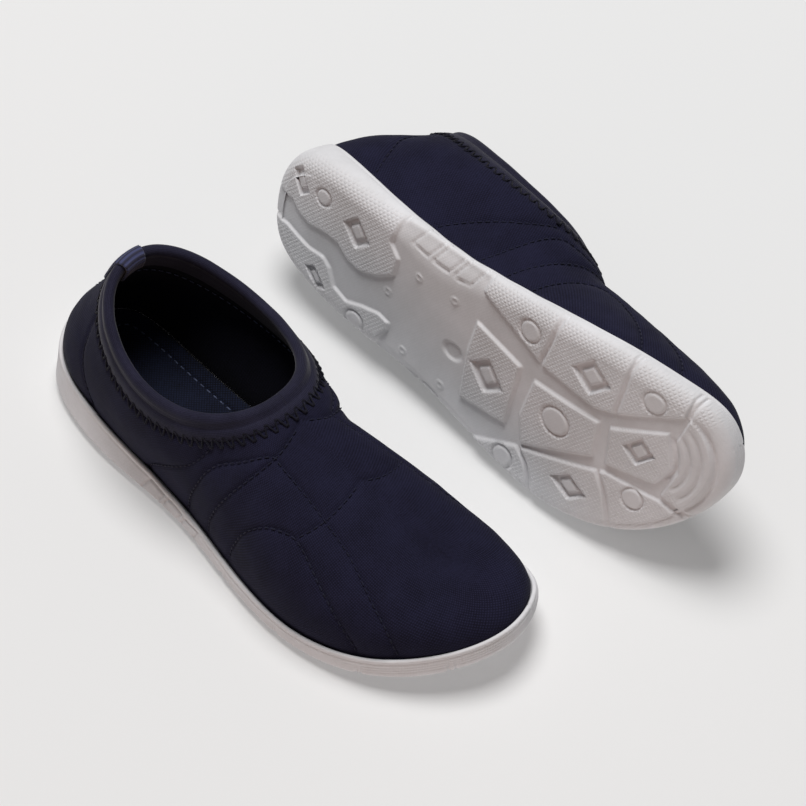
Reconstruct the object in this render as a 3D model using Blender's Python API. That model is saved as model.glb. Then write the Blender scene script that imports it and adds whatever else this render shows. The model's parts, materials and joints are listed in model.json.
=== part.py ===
"""A pair of low slip-on deck shoes in stretch fabric on moulded rubber soles.

The right shoe stands on its sole. The left shoe lies on its outer side, with its sole turned up
towards the right shoe. Both toes point along -Y. Each shoe bends at the ball of the foot: what is
behind that line is one group of pieces, what is in front of it is another, and the soft panel
between them folds.

A shoe is designed in its own frame, in millimetres: x to the outer side, y from the back of the
heel to the toe, z up from the floor. "Lateral" is the outer side of a foot and "medial" the inner.
The upper is a skin whose points are named by (side, station, rise). The station runs from 0 at the
back of the heel to 11 at the tip of the toe. The rise runs from 0, where the skin enters the sole,
to 1, at the seam of the collar band or, in front of it, at the ridge where the two sides meet.
"""

import math
from collections import namedtuple

import bmesh
import bpy
import numpy as np
from mathutils import Matrix, Vector

MM = 0.001

# Sole.
SOLE_LENGTH = 275.0
# The sole's outline, from the back of the heel round the lateral side to the tip of the toe.
LATERAL_OUTLINE = (
    (2, 0), (21, 5.5), (33, 22), (38, 52), (39.5, 85), (43, 118),
    (49.5, 152), (53, 185), (49.5, 213), (38.5, 239.5), (16, 263.5), (-14, 275),
)  # fmt: skip
# The same stations round the medial side, without the two ends.
MEDIAL_OUTLINE = (
    (-17, 5.5), (-28, 22), (-30.5, 52), (-31.5, 85), (-34, 118),
    (-40, 152), (-46.5, 185), (-50.2, 213), (-49.3, 241), (-41, 264),
)  # fmt: skip
HEEL_WALL, WAIST_WALL, TOE_WALL = 23.0, 9.8, 15.0
TOE_SPRING, HEEL_BEVEL = 14.5, 3.0
FLAT_FROM, FLAT_TO = 0.12, 0.68
HEEL_SWELL, HEEL_SWELL_CENTRE, HEEL_SWELL_LENGTH = 4.0, 62.0, 46.0
LIP_DEPTH = 3.0
LIP_INSET, LIP_INNER_INSET = 1.4, 3.2

# Upper.
LAST_STATION = 11
THROAT_STATION = 6
FEATHER_INSET = 4.4
Loop = namedtuple("Loop", "centre_y half_length half_width heel_z side_z throat_z")
COLLAR_EDGE = Loop(82.5, 50.0, 36.5, 89.0, 69.0, 80.5)
BAND_SEAM = Loop(85.8, 58.7, 40.5, 76.5, 54.0, 76.0)
LOOP_X, LOOP_FULLNESS = -3.0, 0.9
SEAM_ANGLES = (0, 25, 48, 72, 101, 136, 180)
RIDGE_REACH = (144.5, 158.5, 182, 203.5, 219, 230)
RIDGE_BOW, RIDGE_FALL, RIDGE_LEVELLING = 9.0, 32.0, 2.0
SIDE_BULGE, SIDE_REACH, RIDGE_TOP_REACH = 3.0, 0.36, 0.60
SIDE_LIFT, RIDGE_LIFT = 0.42, 0.64

# Layers of the upper, as depths below its outer surface.
GAP = 0.3
FABRIC = (0.0, 2.0)
STIFFENER = (2.4, 3.2)
LINING = (3.6, 4.4)
BAND_PROUD, BAND_GAP = 0.6, 1.0
BAND_THICKNESS = 5.4
TAB_THICKNESS, TAB_BELOW_SEAM, TAB_ANGLE, TAB_GAP = 1.2, 7.0, 9.0, 0.7
BOARD_THICKNESS, SOCKLINER_THICKNESS, LAYER_MARGIN = 1.6, 3.6, 3.0

# Seams, in stations and rises.
SHARED_RISES = (0.2, 0.4, 0.56, 0.78)
HEEL_SEAM = 2.0
QUARTER_SEAM = 4.5
TOE_SEAM = 10.0
SEAM_GAP = 0.012
SEAM_RISE = 0.56
COUNTER_STATION, COUNTER_RISE = 2.5, 0.56
PUFF_STATION, PUFF_RISE = 9.0, 0.78

# The bend at the ball of the foot, and the tops of the two planes beside the folding panel.
FLEX_Y, FLEX_Z = 182.0, 11.5
FOLD_BACK_TOP = (150.0, 72.0)
FOLD_FRONT_TOP = (186.0, 63.0)
SOCKLINER_GAP = 1.4

# The left shoe's place beside the right one.
LEFT_BESIDE, LEFT_AHEAD = 98.0, 26.0
LEFT_ROLL, LEFT_HEADING, LEFT_PITCH = 109.4, 0.9, 0.0

NAVY = (0.018, 0.019, 0.040)
NAVY_LIGHT = (0.045, 0.052, 0.120)
NAVY_INNER = (0.010, 0.011, 0.024)
SOLE_GREY = (0.52, 0.51, 0.53)
BOARD_GREY = (0.30, 0.30, 0.31)
STIFFENER_GREY = (0.22, 0.22, 0.24)


# Curves.


def hermite(first, last, slope_first, slope_last, s):
    """The cubic between two values with these slopes, at s from 0 to 1."""
    keep = 2 * s**3 - 3 * s**2 + 1
    return keep * first + (1 - keep) * last + (s**3 - 2 * s**2 + s) * slope_first + (s**3 - s**2) * slope_last


def closed_slopes(points):
    """Slopes that make a smooth closed spline through the points."""
    count = len(points)
    system = 4 * np.eye(count)
    system += np.roll(np.eye(count), 1, axis=1) + np.roll(np.eye(count), -1, axis=1)
    return np.linalg.solve(system, 3 * (np.roll(points, -1, axis=0) - np.roll(points, 1, axis=0)))


def eased(values, t, still=()):
    """A smooth curve through the values at t = 0, 1, 2 and so on, with no slope at the still ones."""
    i = min(int(t), len(values) - 2)

    def slope(k):
        if k in still:
            return 0.0
        before, after = max(k - 1, 0), min(k + 1, len(values) - 1)
        return (values[after] - values[before]) / (after - before)

    return hermite(values[i], values[i + 1], slope(i), slope(i + 1), t - i)


def smooth_step(low, high, value):
    s = min(max((value - low) / (high - low), 0.0), 1.0)
    return s * s * (3 - 2 * s)


OUTLINE_POINTS = np.array(LATERAL_OUTLINE + MEDIAL_OUTLINE[::-1], float)
OUTLINE_SLOPES = closed_slopes(OUTLINE_POINTS)


def outline(side, station, inset=0.0):
    """(x, y) of the sole's outline, moved inwards by the inset, and its outward normal there."""
    count = len(OUTLINE_POINTS)
    t = station if side > 0 else (count - station) % count
    i = int(t) % count
    j = (i + 1) % count
    ends = OUTLINE_POINTS[i], OUTLINE_POINTS[j], OUTLINE_SLOPES[i], OUTLINE_SLOPES[j]
    step = 1e-4
    here = hermite(*ends, t - int(t))
    along = hermite(*ends, t - int(t) + step) - here
    along /= np.linalg.norm(along)
    normal = np.array((along[1], -along[0]))
    return here - inset * normal, normal


# Heights.


def tread_height(y):
    """Height of the underside: flat on the floor between the bevelled heel and the raised toe."""
    t = y / SOLE_LENGTH
    heel = max((FLAT_FROM - t) / FLAT_FROM, 0.0)
    toe = max((t - FLAT_TO) / (1 - FLAT_TO), 0.0)
    return HEEL_BEVEL * heel**2 + TOE_SPRING * toe**2


def feather_height(y):
    """Height of the sole's upper edge."""
    t = y / SOLE_LENGTH
    heel = min(max(1 - t / 0.45, 0.0), 1.0) ** 2
    toe = min(max((t - 0.5) / 0.5, 0.0), 1.0) ** 2
    return tread_height(y) + HEEL_WALL * heel + TOE_WALL * toe + WAIST_WALL * (1 - heel - toe)


def shelf_height(y):
    """Height of the recess in the sole that holds the upper and the insole."""
    return feather_height(y) - LIP_DEPTH


def loop_point(loop, side, angle):
    """A point of a loop round the ankle. The angle runs from 0 at the heel to pi at the throat."""
    across = loop.half_width * math.copysign(abs(math.sin(angle)) ** LOOP_FULLNESS, math.sin(angle))
    along = loop.half_length * math.cos(angle)
    t = (1 - math.cos(angle)) / 2
    height = loop.heel_z * 2 * (t - 0.5) * (t - 1)
    height += -loop.side_z * 4 * t * (t - 1) + loop.throat_z * 2 * t * (t - 0.5)
    return np.array((LOOP_X + side * across, loop.centre_y - along, height))


def seam_angle(station):
    """The angle, round the ankle, of a station of the band's seam."""
    return math.radians(eased(SEAM_ANGLES, station, still=(THROAT_STATION,)))


def ridge_point(y):
    """A point of the ridge, from the band's seam to above the toes, and its slope there."""
    length = RIDGE_REACH[-1] - RIDGE_REACH[0]
    s = (y - RIDGE_REACH[0]) / length
    x = LOOP_X - RIDGE_BOW * s**1.6
    z = BAND_SEAM.throat_z - RIDGE_FALL * s + RIDGE_LEVELLING * s * s
    return np.array((x, y, z)), (2 * RIDGE_LEVELLING * s - RIDGE_FALL) / length


# The skin of the upper.


def band_frame(side, angle):
    """Where the band starts at its seam, its outward normal, its upward direction and its height."""
    step = 1e-3
    seam = loop_point(BAND_SEAM, side, angle)
    band = loop_point(COLLAR_EDGE, side, angle) - seam
    along = loop_point(BAND_SEAM, side, angle + step) - loop_point(BAND_SEAM, side, angle - step)
    outward = side * np.cross(along, band)
    height = np.linalg.norm(band)
    return seam, outward / np.linalg.norm(outward), band / height, height


def section(side, station):
    """Four control points of the skin's section, from the sole up to the band or the ridge."""
    foot_xy, outward = outline(side, station, FEATHER_INSET)
    foot = np.array((*foot_xy, shelf_height(foot_xy[1]) + GAP))
    if station <= THROAT_STATION:
        top, normal, _, _ = band_frame(side, seam_angle(station))
    else:
        last = len(RIDGE_REACH) - 1
        top, slope = ridge_point(eased(RIDGE_REACH, station - THROAT_STATION, still=(0, last)))
        normal = np.array((0.0, -slope, 1.0))
    over_ridge = smooth_step(4.3, THROAT_STATION, station)
    normal /= np.linalg.norm(normal)
    down = foot - top
    down -= np.dot(down, normal) * normal
    high = top + (SIDE_REACH + over_ridge * (RIDGE_TOP_REACH - SIDE_REACH)) * down
    lift = SIDE_LIFT + over_ridge * (RIDGE_LIFT - SIDE_LIFT)
    low = foot + np.array((*(SIDE_BULGE * outward), lift * (top[2] - foot[2])))
    return foot, low, high, top


def skin_surface(side, station, rise):
    foot, low, high, top = section(side, station)
    keep = 1 - rise
    return keep**3 * foot + 3 * keep**2 * rise * low + 3 * keep * rise**2 * high + rise**3 * top


def wrapped(side, station):
    """The same place named from the other side, where a station runs past the heel or the toe."""
    if station < 0:
        return -side, -station
    if station > LAST_STATION:
        return -side, 2 * LAST_STATION - station
    return side, station


def skin_frame(side, station, rise):
    """A point of the outer surface, its outward normal and its upward direction."""
    step = 1e-3
    rise_in = min(max(rise, step), 1 - 2 * step)
    before, after = wrapped(side, station - step), wrapped(side, station + step)
    along = skin_surface(*after, rise_in) - skin_surface(*before, rise_in)
    upward = skin_surface(side, station, rise_in + step) - skin_surface(side, station, rise_in - step)
    normal = side * np.cross(along, upward)
    if rise == 1 and station >= THROAT_STATION:
        y = skin_surface(side, station, 1.0)[1]
        normal = np.array((0.0, -ridge_point(y)[1], 1.0))
    return (
        skin_surface(side, station, rise),
        normal / np.linalg.norm(normal),
        upward / np.linalg.norm(upward),
    )


def skin(side, station, rise, depth):
    point, normal, _ = skin_frame(side, station, rise)
    return point - depth * normal


# Meshes.


def new_mesh():
    return bmesh.new()


def add_faces(bm, corners_of_faces):
    """Adds faces given by their corner points. Corners at one place become one vertex."""
    found = {}
    for corners in corners_of_faces:
        vertices = []
        for corner in corners:
            key = tuple(np.round(corner, 3) + 0.0)
            if key not in found:
                found[key] = bm.verts.new(Vector(key) * MM)
            if found[key] not in vertices:
                vertices.append(found[key])
        if len(vertices) > 2:
            bm.faces.new(vertices)
    bmesh.ops.recalc_face_normals(bm, faces=bm.faces)


def thickened(bm, cells, layer):
    """A shell between two depths of the skin. Each cell is four (side, station, rise) corners."""
    spots = [[tuple(skin(*corner, layer[0])) for corner in cell] for cell in cells]
    inside = [[tuple(skin(*corner, layer[1])) for corner in cell] for cell in cells]
    edges = {}
    for outer, inner in zip(spots, inside):
        for k in range(4):
            ends = outer[k], outer[(k + 1) % 4], inner[(k + 1) % 4], inner[k]
            key = frozenset(tuple(np.round(end, 3) + 0.0) for end in ends[:2])
            edges.setdefault(key, []).append(ends)
    rims = [found[0] for key, found in edges.items() if len(found) == 1 and len(key) == 2]
    add_faces(bm, spots + inside + rims)


def skin_cells(sides, at_stations, at_rises):
    """Cells between neighbouring stations and neighbouring rises."""
    cells = []
    for side in sides:
        for first, second in zip(at_stations[:-1], at_stations[1:]):
            for low, high in zip(at_rises[:-1], at_rises[1:]):
                cells.append(
                    (
                        (side, first, low),
                        (side, second, low),
                        (side, second, high),
                        (side, first, high),
                    )
                )
    return cells


def stations(first, last):
    """The first and the last of these stations and every half station between them."""
    between = [k / 2 for k in range(2 * LAST_STATION + 1) if first < k / 2 < last]
    return [first, *between, last]


def rises(first, last):
    """The first and the last of these rises and the ones between them that every layer shares."""
    return [first, *(rise for rise in SHARED_RISES if first < rise < last), last]


def cut(bm, point, normal):
    """Removes what lies on the side of a plane that its normal points to, and closes the cut."""
    bmesh.ops.bisect_plane(
        bm,
        geom=bm.verts[:] + bm.edges[:] + bm.faces[:],
        dist=1e-7,
        plane_co=Vector(point) * MM,
        plane_no=Vector(normal),
        clear_outer=True,
    )
    bmesh.ops.holes_fill(bm, edges=[edge for edge in bm.edges if edge.is_boundary], sides=0)
    bmesh.ops.recalc_face_normals(bm, faces=bm.faces)


def fold_normal(top):
    """The forward normal of the plane through the bend's axis and this (y, z) point."""
    along, up = top[0] - FLEX_Y, top[1] - FLEX_Z
    length = math.hypot(along, up)
    return (0.0, up / length, -along / length)


def moved(point, normal, distance):
    return tuple(np.array(point) + distance * np.array(normal))


AXIS_POINT = (0.0, FLEX_Y, FLEX_Z)


def keep_rear(bm):
    """Keeps what is behind the folding panel and behind the bend."""
    normal = fold_normal(FOLD_BACK_TOP)
    cut(bm, moved(AXIS_POINT, normal, -GAP / 2), normal)
    cut(bm, (0.0, FLEX_Y - GAP / 2, 0.0), (0.0, 1.0, 0.0))


def keep_front(bm):
    """Keeps what is in front of the folding panel and in front of the bend."""
    normal = fold_normal(FOLD_FRONT_TOP)
    backward = tuple(-np.array(normal))
    cut(bm, moved(AXIS_POINT, normal, GAP / 2), backward)
    cut(bm, (0.0, FLEX_Y + GAP / 2, 0.0), (0.0, -1.0, 0.0))


def keep_fold(bm):
    """Keeps what is between the two fold planes and above the bend."""
    back, front = fold_normal(FOLD_BACK_TOP), fold_normal(FOLD_FRONT_TOP)
    cut(bm, moved(AXIS_POINT, front, -GAP / 2), front)
    cut(bm, moved(AXIS_POINT, back, GAP / 2), tuple(-np.array(back)))
    cut(bm, (0.0, 0.0, FLEX_Z + 2.0), (0.0, 0.0, -1.0))


def ring_solid(rings):
    """Faces of a solid whose rings, each a list of lateral and of medial points, run up its side.

    The first and the last ring are closed by faces from the lateral to the medial side.
    """
    faces = []
    for low, high in zip(rings[:-1], rings[1:]):
        for side in (0, 1):
            for k in range(len(low[side]) - 1):
                faces.append((low[side][k], low[side][k + 1], high[side][k + 1], high[side][k]))
    for lateral, medial in (rings[0], rings[-1]):
        for k in range(len(lateral) - 1):
            faces.append((lateral[k], lateral[k + 1], medial[k + 1], medial[k]))
    return faces


def swell(side, station):
    """How far the foot of the sole stands out at the outer side of the heel."""
    _, y = outline(side, station)[0]
    from_ends = smooth_step(0, 1.6, min(station, LAST_STATION - station))
    lateral = 0.5 + 0.5 * side * from_ends
    return HEEL_SWELL * lateral * from_ends * math.exp(-(((y - HEEL_SWELL_CENTRE) / HEEL_SWELL_LENGTH) ** 2))


def ring(inset, height, swollen=0.0):
    """Points round the outline at an inset, with that share of the swell. The height is a function of y."""
    sides = []
    for side in (1, -1):
        points = []
        for station in stations(0, LAST_STATION):
            x, y = outline(side, station, inset - swollen * swell(side, station))[0]
            points.append((x, y, height(y)))
        sides.append(points)
    return sides


# Parts of one shoe.


def outsole(bm):
    rings = [
        ring(6.5, tread_height, 1.0),
        ring(1.8, lambda y: tread_height(y) + 1.2, 1.0),
        ring(0.0, lambda y: tread_height(y) + 4.5, 1.0),
        ring(LIP_INSET, feather_height),
        ring(LIP_INNER_INSET, feather_height),
        ring(LIP_INNER_INSET, shelf_height),
    ]
    add_faces(bm, ring_solid(rings))


def layer_in_shoe(bm, low, high):
    """A flat layer on the sole's shelf, inside the lining, between two heights above the shelf."""
    inset = FEATHER_INSET + LINING[1] + 2 * GAP + LAYER_MARGIN
    rings = [
        ring(inset, lambda y: shelf_height(y) + low),
        ring(inset, lambda y: shelf_height(y) + high),
    ]
    add_faces(bm, ring_solid(rings))


def insole_board(bm):
    layer_in_shoe(bm, GAP, GAP + BOARD_THICKNESS)


def sockliner(bm):
    low = 2 * GAP + BOARD_THICKNESS
    layer_in_shoe(bm, low, low + SOCKLINER_THICKNESS)


def cut_across(bm, gap, forward):
    """Keeps what is behind the bend or, with forward, what is in front of it."""
    sign = -1.0 if forward else 1.0
    cut(bm, (0.0, FLEX_Y - sign * gap / 2, 0.0), (0.0, sign, 0.0))


def rear_outsole(bm):
    outsole(bm)
    cut_across(bm, GAP, forward=False)


def forefoot_outsole(bm):
    outsole(bm)
    cut_across(bm, GAP, forward=True)


def rear_board(bm):
    insole_board(bm)
    cut_across(bm, GAP, forward=False)


def forefoot_board(bm):
    insole_board(bm)
    cut_across(bm, GAP, forward=True)


def rear_sockliner(bm):
    sockliner(bm)
    cut_across(bm, 2 * SOCKLINER_GAP, forward=False)


def forefoot_sockliner(bm):
    sockliner(bm)
    cut_across(bm, 2 * SOCKLINER_GAP, forward=True)


def lining(bm):
    cells = skin_cells((1, -1), stations(0, LAST_STATION), rises(0, 1))
    thickened(bm, cells, LINING)


def quarter_lining(bm):
    lining(bm)
    keep_rear(bm)


def toe_lining(bm):
    lining(bm)
    keep_front(bm)


def folding_panel(bm):
    cells = skin_cells((1, -1), stations(5.5, 9.5), rises(0, 1))
    thickened(bm, cells, (FABRIC[0], LINING[1]))
    keep_fold(bm)


def heel_panel(bm):
    cells = skin_cells((1, -1), stations(0, HEEL_SEAM), rises(0, 1))
    thickened(bm, cells, FABRIC)


def quarter(bm, side):
    between = stations(HEEL_SEAM + SEAM_GAP, QUARTER_SEAM - SEAM_GAP)
    thickened(bm, skin_cells((side,), between, rises(0, 1)), FABRIC)


def side_panel(bm, side):
    """The side of the shoe below the long seam, from the quarter to the toe."""
    between = stations(QUARTER_SEAM + SEAM_GAP, TOE_SEAM - SEAM_GAP)
    thickened(bm, skin_cells((side,), between, rises(0, SEAM_RISE - SEAM_GAP)), FABRIC)


def top_panel(bm):
    """The top of the shoe between the two long seams, from the collar to the tip of the toe."""
    above_seam = rises(SEAM_RISE + SEAM_GAP, 1)
    below_seam = [*rises(0, SEAM_RISE), SEAM_RISE + SEAM_GAP]
    cells = skin_cells((1, -1), stations(QUARTER_SEAM + SEAM_GAP, LAST_STATION), above_seam)
    cells += skin_cells((1, -1), stations(TOE_SEAM, LAST_STATION), below_seam)
    thickened(bm, cells, FABRIC)


def instep_panel(bm):
    top_panel(bm)
    keep_rear(bm)


def toe_panel(bm):
    top_panel(bm)
    keep_front(bm)


def rear_side_panel(bm, side):
    side_panel(bm, side)
    keep_rear(bm)


def front_side_panel(bm, side):
    side_panel(bm, side)
    keep_front(bm)


def heel_counter(bm):
    cells = skin_cells((1, -1), stations(0, COUNTER_STATION), rises(0, COUNTER_RISE))
    thickened(bm, cells, STIFFENER)


def toe_puff(bm):
    cells = skin_cells((1, -1), stations(PUFF_STATION, LAST_STATION), rises(0, PUFF_RISE))
    thickened(bm, cells, STIFFENER)


def on_band(side, angle, profile):
    """A profile across the collar band: a function of the band's height that gives points as
    millimetres outwards and upwards from the band's seam."""
    seam, outward, upward, height = band_frame(side, angle)
    return [tuple(seam + out * outward + up * upward) for out, up in profile(height)]


def band_profile(height):
    """The padded band's section, a rounded strip on top of the upper's layers."""
    inside = BAND_PROUD - BAND_THICKNESS
    return (
        (BAND_PROUD, BAND_GAP),
        (BAND_PROUD, height - 2.4),
        (BAND_PROUD - 1.0, height - 0.6),
        (BAND_PROUD - BAND_THICKNESS / 2, height),
        (inside + 1.0, height - 0.6),
        (inside, height - 2.4),
        (inside, BAND_GAP),
    )


def tab_profile(height):
    """A strap's section, folded over the band and down the back of the heel."""
    outside, inside = BAND_PROUD + GAP, BAND_PROUD - BAND_THICKNESS - TAB_GAP
    thick = TAB_THICKNESS
    return (
        (outside, -TAB_BELOW_SEAM),
        (outside + thick, -TAB_BELOW_SEAM),
        (outside + thick, height - 0.6),
        (outside - 0.4, height + GAP + thick),
        (inside + 0.4, height + GAP + thick),
        (inside - thick, height - 0.6),
        (inside - thick, GAP),
        (inside, GAP),
        (inside, height + GAP),
        (outside, height + GAP),
    )


def swept(bm, profiles, closed):
    """A solid through a row of equal profiles, closed into a ring or with an end face at each end."""
    faces = []
    pairs = list(zip(profiles, profiles[1:] + profiles[:1] if closed else profiles[1:]))
    for first, second in pairs:
        for k in range(len(first)):
            after = (k + 1) % len(first)
            faces.append((first[k], first[after], second[after], second[k]))
    if not closed:
        faces += [profiles[0], profiles[-1]]
    add_faces(bm, faces)


def collar_band(bm):
    angles = [seam_angle(station) for station in stations(0, THROAT_STATION)]
    around = [(1, angle) for angle in angles]
    around += [(-1, angle) for angle in angles[-2:0:-1]]
    swept(bm, [on_band(*spot, band_profile) for spot in around], closed=True)


def heel_tab(bm):
    around = ((-1, math.radians(TAB_ANGLE)), (1, 0.0), (1, math.radians(TAB_ANGLE)))
    swept(bm, [on_band(*spot, tab_profile) for spot in around], closed=False)


# The two shoes.


def material(name, colour, roughness):
    made = bpy.data.materials.new(name)
    made.use_nodes = True
    shader = made.node_tree.nodes["Principled BSDF"]
    shader.inputs["Base Color"].default_value = (*colour, 1.0)
    shader.inputs["Roughness"].default_value = roughness
    made.diffuse_color = (*colour, 1.0)
    return made


def shoe_parts():
    """(name, function that fills a bmesh, material) of each piece of a shoe."""
    fabric = material("stretch_fabric", NAVY, 0.85)
    inner = material("lining_fabric", NAVY_INNER, 0.9)
    binding = material("binding_fabric", NAVY, 0.6)
    webbing = material("tab_webbing", NAVY_LIGHT, 0.7)
    foam = material("sockliner_foam", NAVY_INNER, 0.8)
    rubber = material("sole_rubber", SOLE_GREY, 0.55)
    board = material("insole_board", BOARD_GREY, 0.9)
    stiffener = material("stiffener", STIFFENER_GREY, 0.8)
    return (
        ("rear_outsole", rear_outsole, rubber),
        ("forefoot_outsole", forefoot_outsole, rubber),
        ("rear_insole_board", rear_board, board),
        ("forefoot_insole_board", forefoot_board, board),
        ("rear_sockliner", rear_sockliner, foam),
        ("forefoot_sockliner", forefoot_sockliner, foam),
        ("quarter_lining", quarter_lining, inner),
        ("toe_lining", toe_lining, inner),
        ("heel_counter", heel_counter, stiffener),
        ("toe_puff", toe_puff, stiffener),
        ("heel_panel", heel_panel, fabric),
        ("lateral_quarter", lambda bm: quarter(bm, 1), fabric),
        ("medial_quarter", lambda bm: quarter(bm, -1), fabric),
        ("lateral_side_panel", lambda bm: rear_side_panel(bm, 1), fabric),
        ("medial_side_panel", lambda bm: rear_side_panel(bm, -1), fabric),
        ("instep_panel", instep_panel, fabric),
        ("vamp_flex_panel", folding_panel, fabric),
        ("toe_panel", toe_panel, fabric),
        ("lateral_toe_side", lambda bm: front_side_panel(bm, 1), fabric),
        ("medial_toe_side", lambda bm: front_side_panel(bm, -1), fabric),
        ("collar_band", collar_band, binding),
        ("heel_tab", heel_tab, webbing),
    )


FRONT_PARTS = (
    "forefoot_outsole",
    "forefoot_insole_board",
    "forefoot_sockliner",
    "toe_lining",
    "toe_puff",
    "toe_panel",
    "lateral_toe_side",
    "medial_toe_side",
)


def build_shoe(prefix, mirrored, parts):
    """One shoe's objects, under an empty at its own origin and another on its bend."""
    scene = bpy.context.scene.collection
    root = bpy.data.objects.new(prefix + "_shoe", None)
    bend = bpy.data.objects.new(prefix + "_forefoot_bend", None)
    scene.objects.link(root)
    scene.objects.link(bend)
    bend.parent = root
    bend.location = Vector(AXIS_POINT) * MM
    for name, fill, finish in parts:
        bm = new_mesh()
        fill(bm)
        if mirrored:
            bmesh.ops.scale(bm, vec=(-1, 1, 1), verts=bm.verts)
            bmesh.ops.reverse_faces(bm, faces=bm.faces)
        in_front = name in FRONT_PARTS
        if in_front:
            bmesh.ops.translate(bm, vec=-Vector(AXIS_POINT) * MM, verts=bm.verts)
        mesh = bpy.data.meshes.new(prefix + "_" + name)
        bm.to_mesh(mesh)
        bm.free()
        mesh.materials.append(finish)
        mesh.shade_smooth()
        mesh.set_sharp_from_angle(angle=math.radians(35))
        made = bpy.data.objects.new(prefix + "_" + name, mesh)
        scene.objects.link(made)
        made.parent = bend if in_front else root
    return root


def box_of(roots):
    """Lowest and highest corner of everything under these empties."""
    bpy.context.view_layer.update()
    points = [
        made.matrix_world @ vertex.co
        for root in roots
        for made in root.children_recursive
        if made.type == "MESH"
        for vertex in made.data.vertices
    ]
    points = np.array(points)
    return Vector(points.min(axis=0)), Vector(points.max(axis=0))


def place_shoes(right, left):
    """Toes towards -Y, the left shoe rolled onto its outer side, the pair centred on the origin."""
    turned = Matrix.Rotation(math.pi, 4, "Z")
    right.matrix_world = turned
    left.matrix_world = (
        Matrix.Translation(Vector((LEFT_BESIDE, -LEFT_AHEAD, 0.0)) * MM)
        @ Matrix.Rotation(math.radians(LEFT_HEADING), 4, "Z")
        @ Matrix.Rotation(math.radians(LEFT_PITCH), 4, "X")
        @ Matrix.Rotation(math.radians(LEFT_ROLL), 4, "Y")
        @ turned
    )
    left.location.z -= box_of([left])[0].z
    low, high = box_of([right, left])
    for root in (right, left):
        root.location.x -= (low.x + high.x) / 2
        root.location.y -= (low.y + high.y) / 2
    bpy.context.view_layer.update()


def main():
    for old in list(bpy.data.objects):
        bpy.data.objects.remove(old)
    parts = shoe_parts()
    right = build_shoe("right", False, parts)
    left = build_shoe("left", True, parts)
    place_shoes(right, left)


main()
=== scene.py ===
"""The looks of a pair of slip-on deck shoes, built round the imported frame.

Each shoe is built in its own design frame, in millimetres: x to the outer side, y from the back of
the heel to the toe, z up from the floor. It is then mirrored for the left shoe and moved to where
the frame's bend joint is. A place on the upper is named by u and rise: u runs round the shoe, from
0 at the back of the heel over the lateral side to 11 at the tip of the toe and back over the
medial side to 22; rise runs from 0 in the sole to 1 at the collar band or at the ridge.
"""

import json
from collections import namedtuple
from math import cos, pi, radians, sin

import bmesh
import bpy
import numpy as np
from mathutils import Matrix, Vector, kdtree, noise
from numpy.linalg import norm


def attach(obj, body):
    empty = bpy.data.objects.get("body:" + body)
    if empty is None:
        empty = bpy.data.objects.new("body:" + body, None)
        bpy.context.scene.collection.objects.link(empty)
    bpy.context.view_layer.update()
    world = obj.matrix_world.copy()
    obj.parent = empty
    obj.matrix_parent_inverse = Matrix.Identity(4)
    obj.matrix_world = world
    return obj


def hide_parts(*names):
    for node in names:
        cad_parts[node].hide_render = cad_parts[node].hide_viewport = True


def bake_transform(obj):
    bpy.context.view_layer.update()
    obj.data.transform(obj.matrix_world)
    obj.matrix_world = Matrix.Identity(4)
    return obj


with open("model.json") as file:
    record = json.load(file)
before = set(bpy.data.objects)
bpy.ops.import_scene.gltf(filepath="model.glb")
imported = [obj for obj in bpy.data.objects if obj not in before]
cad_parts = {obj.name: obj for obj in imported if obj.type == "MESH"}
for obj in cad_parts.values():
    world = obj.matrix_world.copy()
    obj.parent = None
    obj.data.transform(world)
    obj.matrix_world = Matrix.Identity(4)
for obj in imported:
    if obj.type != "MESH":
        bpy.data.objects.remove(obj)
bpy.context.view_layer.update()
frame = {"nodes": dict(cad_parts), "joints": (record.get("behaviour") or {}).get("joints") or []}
MM = 0.001

# The sole's outline from the back of the heel over the lateral side, as in the CAD part.
LATERAL_OUTLINE = (
    (2, 0), (21, 5.5), (33, 22), (38, 52), (39.5, 85), (43, 118),
    (49.5, 152), (53, 185), (49.5, 213), (38.5, 239.5), (16, 263.5), (-14, 275),
)
MEDIAL_OUTLINE = (
    (-17, 5.5), (-28, 22), (-30.5, 52), (-31.5, 85), (-34, 118),
    (-40, 152), (-46.5, 185), (-50.2, 213), (-49.3, 241), (-41, 264),
)
OUTLINE = np.array(LATERAL_OUTLINE + MEDIAL_OUTLINE[::-1], float)
STATIONS = len(OUTLINE)
LAST_STATION, THROAT_STATION = 11, 6
SOLE_LENGTH = 275.0
HEEL_WALL, WAIST_WALL, TOE_WALL = 23.0, 9.8, 15.0
HEEL_WALL_TO, TOE_WALL_FROM = 0.45, 0.5
TOE_SPRING, HEEL_BEVEL = 14.5, 3.0
FLAT_FROM, FLAT_TO = 0.12, 0.68
LIP_DEPTH, LIP_INNER_INSET = 3.0, 3.2
FEATHER_INSET = 4.4
Loop = namedtuple("Loop", "centre_y half_length half_width heel_z side_z throat_z")
COLLAR_EDGE = Loop(82.5, 50.0, 36.5, 89.0, 69.0, 80.5)
BAND_SEAM = Loop(85.8, 58.7, 40.5, 76.5, 54.0, 76.0)
LOOP_X, LOOP_FULLNESS = -3.0, 0.9
SEAM_ANGLES = (0, 25, 48, 72, 101, 136, 180)
RIDGE_REACH = (144.5, 158.5, 182, 203.5, 219, 230)
RIDGE_BOW, RIDGE_BOW_POWER, RIDGE_FALL, RIDGE_LEVELLING = 9.0, 1.6, 32.0, 2.0
SIDE_BULGE, SIDE_REACH, RIDGE_TOP_REACH = 3.0, 0.36, 0.60
SIDE_LIFT, RIDGE_LIFT = 0.42, 0.64
# Station from which the sections change to the ridge's shape, and the highest rise at which the
# skin's normal is measured.
RIDGE_SHAPE_FROM, NEAR_RIDGE = 4.3, 0.98

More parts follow.
